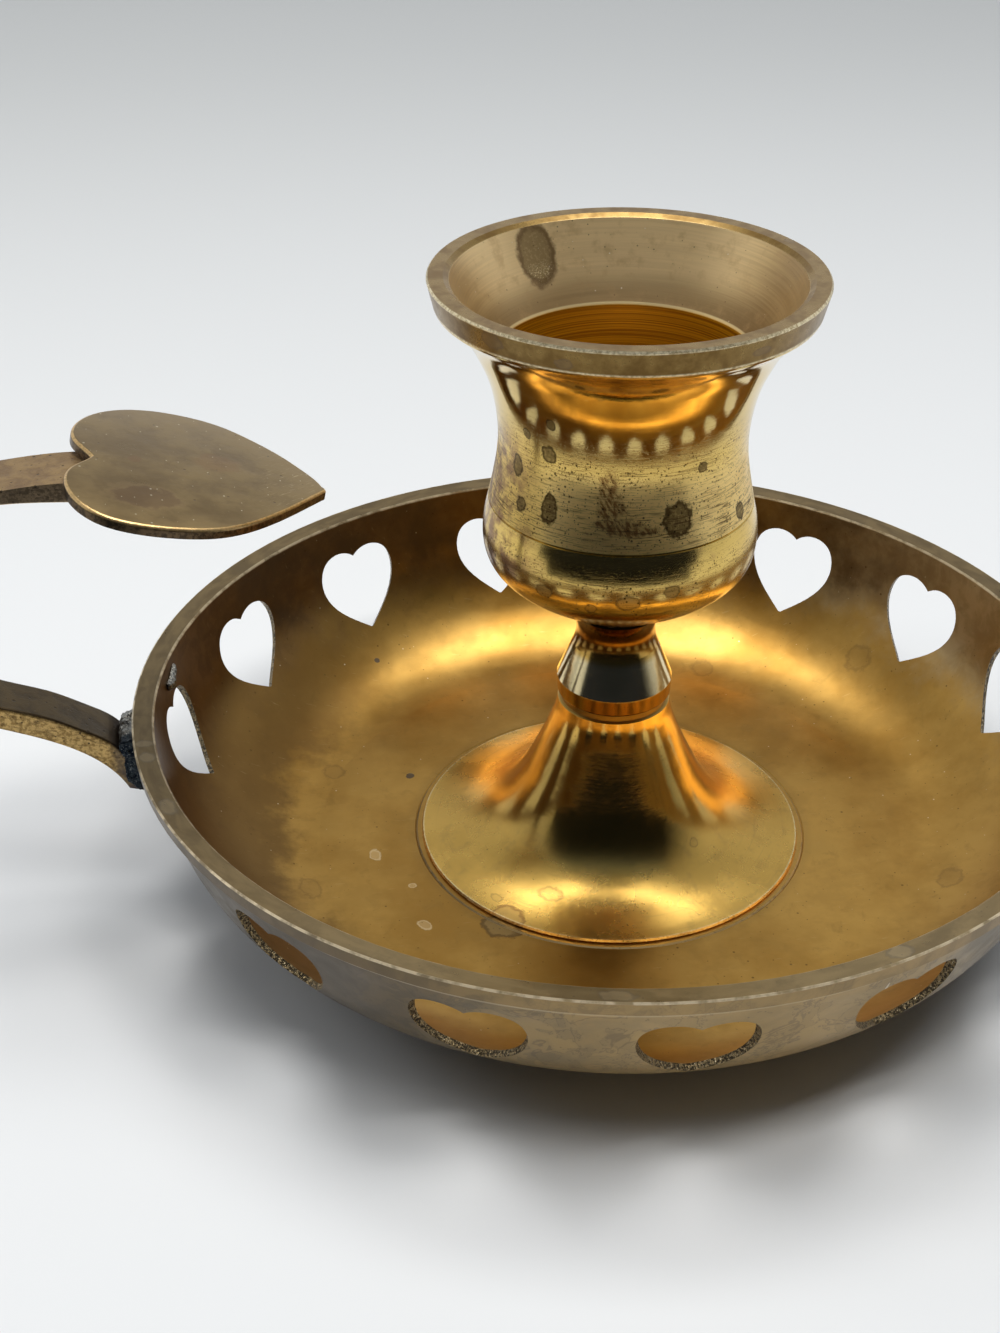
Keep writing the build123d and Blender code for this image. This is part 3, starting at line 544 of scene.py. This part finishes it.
# ------------------------------------------------------------------ finger loop
def bar_material():
    k = Mat("bar_brass")
    patch = k.noise(k.P, 0.5, 5, 0.62, 0.4)
    fine = k.noise(k.P, 2.8, 4, 0.62)
    grain = k.noise(k.P, 8.0, 2, 0.6)
    side = k.step(k.m("ABSOLUTE", k.ny), 0.55, 0.85)
    upper = k.step(k.m("ADD", k.z, k.lin(patch, 0.3, 0.7, -2, 2)), 36.0, 43.0)
    face_low = k.mix(k.step(patch, 0.36, 0.64), (0.066, 0.044, 0.020), (0.110, 0.074, 0.032))
    face_up = k.mix(k.step(patch, 0.36, 0.64), (0.235, 0.138, 0.056), (0.35, 0.225, 0.095))
    face_up = k.mix(k.m("MULTIPLY", k.step(k.noise(k.P, 1.3, 4, 0.6), 0.54, 0.66), 0.5), face_up, (0.22, 0.135, 0.065))
    face = k.mix(upper, face_low, face_up)
    # long scribbles and pits on the sides
    v = k.join(k.m("MULTIPLY", k.x, 1.1), k.m("MULTIPLY", k.y, 1.0), k.m("MULTIPLY", k.m("ADD", k.z, k.m("MULTIPLY", k.x, 0.35)), 3.2))
    scrib = k.step(k.noise(v, 1.0, 4, 0.7), 0.53, 0.64)
    side_low = k.mix(k.step(fine, 0.38, 0.60), (0.30, 0.185, 0.055), (0.60, 0.40, 0.145))
    side_low = k.mix(k.m("MULTIPLY", scrib, 0.55), side_low, (0.17, 0.095, 0.03))
    side_up = k.mix(k.step(fine, 0.4, 0.62), (0.085, 0.060, 0.032), (0.17, 0.12, 0.068))
    sidec = k.mix(upper, side_low, side_up)
    col = k.mix(side, face, sidec)
    pit = k.m("MAXIMUM", pits(k, k.P, 1.3, 0.22, 0.4), k.m("MULTIPLY", pits(k, k.P, 3.0, 0.2, 0.4), 0.8))
    col = k.mix(k.m("MULTIPLY", pit, 0.8), col, (0.045, 0.03, 0.015))
    # rounded corners: bright above, dark along the lower part
    corner = k.m("MULTIPLY", k.step(k.m("ABSOLUTE", k.ny), 0.18, 0.35), k.step(k.m("ABSOLUTE", k.ny), 0.92, 0.75))
    col = k.mix(k.m("MULTIPLY", corner, k.m("MULTIPLY", upper, k.lin(fine, 0.35, 0.6, 0.35, 0.95))), col, (0.80, 0.56, 0.27))
    col = k.mix(k.m("MULTIPLY", corner, k.m("MULTIPLY", k.m("SUBTRACT", 1.0, upper), 0.7)), col, (0.06, 0.04, 0.02))
    # flux and heat stain next to the solder
    heat = k.m("MULTIPLY", k.step(k.x, -52.2, -50.6), k.step(k.z, 24.0, 22.0))
    col = k.mix(k.m("MULTIPLY", heat, k.lin(patch, 0.3, 0.65, 0.4, 0.95)), col, (0.07, 0.055, 0.05))
    rough = k.lin(patch, 0.3, 0.7, 0.30, 0.44)
    rough = k.m("ADD", rough, k.m("MULTIPLY", pit, 0.1))
    h = k.m("ADD", k.m("MULTIPLY", fine, 0.7), k.m("MULTIPLY", grain, 0.25))
    h = k.m("SUBTRACT", h, k.m("MULTIPLY", pit, 1.1))
    h = k.m("SUBTRACT", h, k.m("MULTIPLY", k.m("MULTIPLY", scrib, side), 0.8))
    b = k.bump(h, 0.03, 0.8)
    b = k.bump(patch, 0.12, 0.5, b)
    k.put(k.bsdf.inputs["Metallic"], k.lin(side, 0.0, 1.0, 0.8, 0.65))
    return k.done(col, rough, b)


# ------------------------------------------------------------------ thumb plate
def plate_material():
    k = Mat("plate_brass")
    # coordinates on the plate: along it from the notch, and across
    d = Vector((21.48, 0.0, -5.13)).normalized()
    pu = k.vec("DOT_PRODUCT", k.vec("SUBTRACT", k.P, (-50.27, 0.0, 51.47)), tuple(d))
    cloud = k.noise(k.P, 0.16, 5, 0.6)
    patch = k.noise(k.P, 0.6, 5, 0.62, 0.4)
    fine = k.noise(k.P, 2.6, 4, 0.62)
    grain = k.noise(k.P, 9.0, 2, 0.6)
    nup = k.vec("DOT_PRODUCT", k.N, (0.2323, 0.0, 0.9726))
    top = k.step(nup, 0.80, 0.97)
    col = k.mix(k.step(cloud, 0.36, 0.64), (0.195, 0.128, 0.052), (0.275, 0.188, 0.078))
    col = k.mix(k.m("MULTIPLY", k.step(patch, 0.50, 0.70), 0.4), col, (0.165, 0.102, 0.040))
    # lighter zone along the outline, painted light where the domed top slopes down: distance from a heart-like middle
    # line
    q = k.vec("LENGTH", k.join(k.m("DIVIDE", k.m("SUBTRACT", pu, 7.2), 13.8), k.m("DIVIDE", k.y, 11.6), 0.0))
    zone = k.step(k.m("ADD", q, k.lin(patch, 0.3, 0.7, -0.1, 0.1)), 0.74, 1.0)
    col = k.mix(k.m("MULTIPLY", zone, 0.35), col, (0.37, 0.255, 0.11))
    # darker oval near the front edge and a reddish one in the middle
    rag = k.lin(k.noise(k.P, 0.9, 3, 0.6), 0.25, 0.75, -0.25, 0.25)

    def oval(u0, y0, ru, ry):
        e = k.vec("LENGTH", k.join(k.m("DIVIDE", k.m("SUBTRACT", pu, u0), ru), k.m("DIVIDE", k.m("SUBTRACT", k.y, y0), ry), 0.0))
        e = k.m("ADD", e, rag)
        return k.step(e, 0.8, 1.15, 1.0, 0.0), k.m("MULTIPLY", k.step(e, 0.75, 0.95), k.step(e, 1.0, 1.2, 1.0, 0.0))

    i1, o1 = oval(5.2, -6.9, 3.4, 2.3)
    i2, o2 = oval(4.0, 0.6, 0.7, 0.7)
    i3, o3 = oval(11.8, 2.4, 2.3, 1.8)
    col = k.mix(k.m("MULTIPLY", i1, 0.6), col, (0.155, 0.092, 0.045))
    col = k.mix(k.m("MULTIPLY", o1, 0.25), col, (0.36, 0.25, 0.11))
    col = k.mix(k.m("MULTIPLY", i2, 0.5), col, (0.22, 0.12, 0.05))
    col = k.mix(k.m("MULTIPLY", i3, 0.3), col, (0.24, 0.12, 0.045))
    # pale and dark specks, more of the pale ones towards the tip
    dens = k.lin(pu, 4.0, 20.0, 0.55, 1.0)
    ps = k.m("MAXIMUM", pits(k, k.P, 0.8, 0.10, 0.42), pits(k, k.vec("ADD", k.P, (3.0, 8.0, 1.0)), 1.6, 0.11, 0.3))
    col = k.mix(k.m("MULTIPLY", k.m("MULTIPLY", ps, dens), 0.85), col, (0.92, 0.82, 0.58))
    ds = pits(k, k.vec("ADD", k.P, (17.0, 2.0, 5.0)), 1.0, 0.13, 0.4)
    col = k.mix(k.m("MULTIPLY", ds, 0.65), col, (0.10, 0.06, 0.03))
    # filed hairlines near the tip
    hv = k.join(k.m("MULTIPLY", k.m("ADD", pu, k.y), 0.4), k.m("MULTIPLY", k.m("SUBTRACT", pu, k.y), 5.0), 0.0)
    hair = k.m("MULTIPLY", k.step(k.noise(hv, 1.0, 2, 0.7), 0.60, 0.70), k.step(pu, 14.0, 19.0))
    col = k.mix(k.m("MULTIPLY", hair, 0.4), col, (0.72, 0.58, 0.34))
    # rounded edge: coppery and bright, a painted highlight; side: nearly black
    edge = k.m("MULTIPLY", k.step(nup, 0.985, 0.93), k.step(nup, 0.15, 0.45))
    col = k.mix(k.m("MULTIPLY", edge, k.lin(fine, 0.35, 0.6, 0.45, 0.95)), col, (0.78, 0.52, 0.23))
    side = k.mix(k.step(fine, 0.38, 0.62), (0.06, 0.042, 0.024), (0.17, 0.115, 0.062))
    col = k.mix(k.step(nup, 0.35, 0.12), col, side)
    rough = k.lin(cloud, 0.3, 0.7, 0.27, 0.36)
    rough = k.m("ADD", rough, k.m("MULTIPLY", i1, 0.05))
    h = k.m("ADD", k.m("MULTIPLY", fine, 0.6), k.m("MULTIPLY", grain, 0.3))
    h = k.m("SUBTRACT", h, k.m("MULTIPLY", ds, 0.8))
    h = k.m("ADD", h, k.m("MULTIPLY", ps, 0.5))
    b = k.bump(h, 0.018, 0.6)
    b = k.bump(k.noise(k.P, 0.32, 3, 0.5), 0.10, 0.5, b)
    # gentle dome: the middle of the top is a little higher than its outline
    b = k.bump(k.m("MULTIPLY", k.m("MULTIPLY", q, q), top), -0.55, 1.0, b)
    k.bsdf.inputs["Metallic"].default_value = 0.85
    return k.done(col, rough, b)


# ------------------------------------------------------------------ solder and steel
def solder_material(name, silver):
    k = Mat(name)
    n = k.noise(k.P, 2.2, 4, 0.65)
    fine = k.noise(k.P, 6.5, 3, 0.65)
    blue = k.mix(k.step(n, 0.36, 0.62), (0.006, 0.010, 0.018), (0.035, 0.044, 0.050))
    blue = k.mix(k.m("MULTIPLY", k.step(fine, 0.56, 0.68), 0.6), blue, (0.26, 0.27, 0.25))
    sil = k.mix(k.step(fine, 0.34, 0.62), (0.05, 0.05, 0.048), (0.40, 0.39, 0.35))
    col = k.mix(silver(k, n), blue, sil)
    b = k.bump(k.m("ADD", n, k.m("MULTIPLY", fine, 0.5)), 0.14, 0.9)
    return k.done(col, k.lin(fine, 0.35, 0.65, 0.42, 0.2), b)


def steel_material(name, tint, scale):
    k = Mat(name)
    n = k.noise(k.P, 0.6 * scale, 5, 0.62)
    f = k.noise(k.P, 3.5 * scale, 3, 0.6)
    lines = turned(k, 4.0, 0.05)
    col = k.mix(k.step(n, 0.35, 0.65), tint, tuple(c * 1.7 for c in tint))
    col = k.mix(k.m("MULTIPLY", k.step(f, 0.55, 0.68), 0.7), col, (0.20, 0.10, 0.045))
    col = k.mix(k.m("MULTIPLY", pits(k, k.P, 2.0 * scale, 0.2, 0.3), 0.7), col, (0.06, 0.05, 0.045))
    h = k.m("ADD", k.m("MULTIPLY", lines, 0.6), f)
    return k.done(col, k.lin(n, 0.3, 0.7, 0.28, 0.45), k.bump(h, 0.02, 0.7))


mats = {
    "pan": pan_material(),
    "pedestal": pedestal_material(),
    "candle_cup": cup_material(),
    "handle_strip": bar_material(),
    "thumb_plate": plate_material(),
    "handle_solder": solder_material("solder", lambda k, n: k.m("MULTIPLY", k.step(k.z, 19.9, 20.7), k.step(k.y, -1.9, -1.2))),
    "thumb_solder": solder_material("solder_film", lambda k, n: k.step(n, 0.50, 0.60)),
    "solder_overflow": solder_material("bright_solder", lambda k, n: k.step(n, 0.30, 0.45)),
    "cup_stud": steel_material("stud_steel", (0.30, 0.29, 0.27), 1.0),
    "base_screw": steel_material("screw_steel", (0.33, 0.31, 0.28), 1.2),
    "base_washer": steel_material("washer_steel", (0.36, 0.34, 0.30), 0.8),
}
for node, mat in mats.items():
    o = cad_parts[node]
    o.data.materials.clear()
    o.data.materials.append(mat)


# ------------------------------------------------------------------ lumpy solder
def lumpy(node, voxel, amount, scale):
    """A remeshed copy of a solder node with seeded lumps, which stands for the node."""
    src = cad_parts[node]
    mesh = src.data.copy()
    mesh.name = node + "_lumps"
    piece = bpy.data.objects.new(node + "_lumps", mesh)
    scene.collection.objects.link(piece)
    mod = piece.modifiers.new("remesh", "REMESH")
    mod.mode = "VOXEL"
    mod.voxel_size = voxel
    deps = bpy.context.evaluated_depsgraph_get()
    new = bpy.data.meshes.new_from_object(piece.evaluated_get(deps))
    piece.modifiers.clear()
    piece.data = new
    normals = [v.normal.copy() for v in new.vertices]
    for v, n in zip(new.vertices, normals):
        p = v.co * 1000.0
        h = noise.noise(p * scale) * 0.75 + noise.noise(p * scale * 2.3 + Vector((7.1, 3.3, 1.7))) * 0.35
        v.co += n * (h * amount)
    new.update()
    for poly in new.polygons:
        poly.use_smooth = True
    new.materials.clear()
    new.materials.append(mats[node])
    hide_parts(node)
    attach(piece, "root")
    return piece


lumpy("handle_solder", 0.00014, 0.00022, 1.15)
lumpy("solder_overflow", 0.00011, 0.00012, 1.8)

# ------------------------------------------------------------------ floor and light
def plain(name, color, rough):
    m = bpy.data.materials.new(name)
    m.use_nodes = True
    p = m.node_tree.nodes["Principled BSDF"]
    p.inputs["Base Color"].default_value = (*color, 1)
    p.inputs["Roughness"].default_value = rough
    return m


floor_mesh = bpy.data.meshes.new("floor")
floor_mesh.from_pydata([(-3, -3, 0), (3, -3, 0), (3, 3, 0), (-3, 3, 0)], [], [(0, 1, 2, 3)])
floor = bpy.data.objects.new("floor", floor_mesh)
scene.collection.objects.link(floor)
fm = plain("pale_floor", (0.80, 0.81, 0.82), 0.75)
ft = fm.node_tree
fc = ft.nodes.new("ShaderNodeTexCoord")
fsep = ft.nodes.new("ShaderNodeSeparateXYZ")
ft.links.new(fc.outputs["Object"], fsep.inputs[0])
# painted falloff: the floor's colour darkens towards the back (y 0 to 0.36), standing in for the light falling off
fmap = ft.nodes.new("ShaderNodeMapRange")
fmap.interpolation_type = "SMOOTHSTEP"
ft.links.new(fsep.outputs[1], fmap.inputs[0])
for i, v in enumerate((0.0, 0.36, 0.0, 1.0)):
    fmap.inputs[i + 1].default_value = v
fmix = ft.nodes.new("ShaderNodeMix")
fmix.data_type = "RGBA"
ft.links.new(fmap.outputs[0], fmix.inputs[0])
fmix.inputs[6].default_value = (0.75, 0.76, 0.77, 1)
fmix.inputs[7].default_value = (0.56, 0.57, 0.57, 1)
ft.links.new(fmix.outputs[2], ft.nodes["Principled BSDF"].inputs["Base Color"])
floor_mesh.materials.append(fm)


def card(name, radius, az0, az1, z0, z1, lean, color, low, high):
    """A curved sheet round the table that only reflections and light see; its glow goes from low to high."""
    n = 24
    pts, faces = [], []
    for i in range(n + 1):
        a = math.radians(az0 + (az1 - az0) * i / n)
        for j in range(7):
            t = j / 6
            r = radius * (1 - lean * t * t)
            pts.append((r * math.cos(a), r * math.sin(a), z0 + (z1 - z0) * t))
    for i in range(n):
        for j in range(6):
            b = i * 7 + j
            faces.append((b, b + 7, b + 8, b + 1))
    me = bpy.data.meshes.new(name)
    me.from_pydata(pts, [], faces)
    m = bpy.data.materials.new(name)
    m.use_nodes = True
    t = m.node_tree
    t.nodes.clear()
    tc = t.nodes.new("ShaderNodeTexCoord")
    sp = t.nodes.new("ShaderNodeSeparateXYZ")
    t.links.new(tc.outputs["Object"], sp.inputs[0])
    mr = t.nodes.new("ShaderNodeMapRange")
    mr.interpolation_type = "SMOOTHSTEP"
    t.links.new(sp.outputs[2], mr.inputs[0])
    for i, v in enumerate((z0 + 0.5 * (z1 - z0), z1, low, high)):
        mr.inputs[i + 1].default_value = v
    em = t.nodes.new("ShaderNodeEmission")
    em.inputs["Color"].default_value = (*color, 1)
    t.links.new(mr.outputs[0], em.inputs["Strength"])
    om = t.nodes.new("ShaderNodeOutputMaterial")
    t.links.new(em.outputs[0], om.inputs[0])
    me.materials.append(m)
    o = bpy.data.objects.new(name, me)
    scene.collection.objects.link(o)
    o.visible_camera = False
    o.visible_diffuse = False
    o.visible_shadow = False
    return o


card("dark_card", 0.28, -166.0, -37.0, 0.0, 0.40, 0.35, (0.60, 0.75, 1.0), 0.02, 0.30)
card("low_card", 0.118, -158.0, -45.0, 0.0, 0.046, 0.0, (0.60, 0.70, 1.0), 0.012, 0.03)

world = bpy.data.worlds.new("studio")
scene.world = world
world.use_nodes = True
wt = world.node_tree
wt.nodes.clear()
wn = wt.nodes.new
tc = wn("ShaderNodeTexCoord")
sep = wn("ShaderNodeSeparateXYZ")
wt.links.new(tc.outputs["Generated"], sep.inputs[0])


def wmap(sock, lo, hi, a, b):
    n = wn("ShaderNodeMapRange")
    n.interpolation_type = "SMOOTHSTEP"
    wt.links.new(sock, n.inputs[0])
    for i, v in enumerate((lo, hi, a, b)):
        n.inputs[i + 1].default_value = v
    return n.outputs[0]


def wmul(a, b):
    n = wn("ShaderNodeMath")
    n.operation = "MULTIPLY"
    wt.links.new(a, n.inputs[0])
    wt.links.new(b, n.inputs[1])
    return n.outputs[0]


rise = wmap(sep.outputs[2], 0.10, 0.80, 0.85, 0.42)     # dimmer towards the zenith
front = wmap(sep.outputs[1], -0.60, 0.10, 0.06, 1.0)   # dark in front
bg = wn("ShaderNodeBackground")
bg.inputs["Color"].default_value = (0.92, 0.96, 1.0, 1)
wt.links.new(wmul(rise, front), bg.inputs["Strength"])
aim = wn("ShaderNodeVectorMath")
aim.operation = "DOT_PRODUCT"
wt.links.new(tc.outputs["Generated"], aim.inputs[0])
aim.inputs[1].default_value = (-0.10, 0.34, 0.93)
low = wmap(aim.outputs["Value"], 0.44, 0.94, 0.012, 0.36)  # soft light from above and the left, little along the table
plain_bg = wn("ShaderNodeBackground")
plain_bg.inputs["Color"].default_value = (0.70, 0.84, 1.0, 1)
wt.links.new(low, plain_bg.inputs["Strength"])
lp = wn("ShaderNodeLightPath")
mixs = wn("ShaderNodeMixShader")
wt.links.new(lp.outputs["Is Diffuse Ray"], mixs.inputs[0])
wt.links.new(bg.outputs[0], mixs.inputs[1])
wt.links.new(plain_bg.outputs[0], mixs.inputs[2])
wo = wn("ShaderNodeOutputWorld")
wt.links.new(mixs.outputs[0], wo.inputs[0])


def area(name, loc, target, size, power, color=(1, 1, 1)):
    d = bpy.data.lights.new(name, "AREA")
    d.shape = "RECTANGLE"
    d.size, d.size_y = size
    d.energy = power
    d.color = color
    o = bpy.data.objects.new(name, d)
    scene.collection.objects.link(o)
    o.location = loc
    o.rotation_mode = "QUATERNION"
    o.rotation_quaternion = (Vector(target) - Vector(loc)).to_track_quat("-Z", "Y")
    return o


area("overhead", (0.02, 0.115, 0.68), (0, 0, 0.02), (0.42, 0.40), 3.0, (1.0, 0.985, 0.96))
fill = area("fill", (0.14, -0.30, 1.0), (0.08, -0.12, 0), (0.70, 0.20), 4.6, (1.0, 0.985, 0.955))
fill.visible_glossy = False
side = area("side_fill", (-0.50, 0.20, 0.36), (-0.04, 0, 0), (0.30, 0.30), 0.95, (1.0, 0.985, 0.96))
side.visible_glossy = False

scene.view_settings.view_transform = "Standard"
scene.view_settings.look = "None"
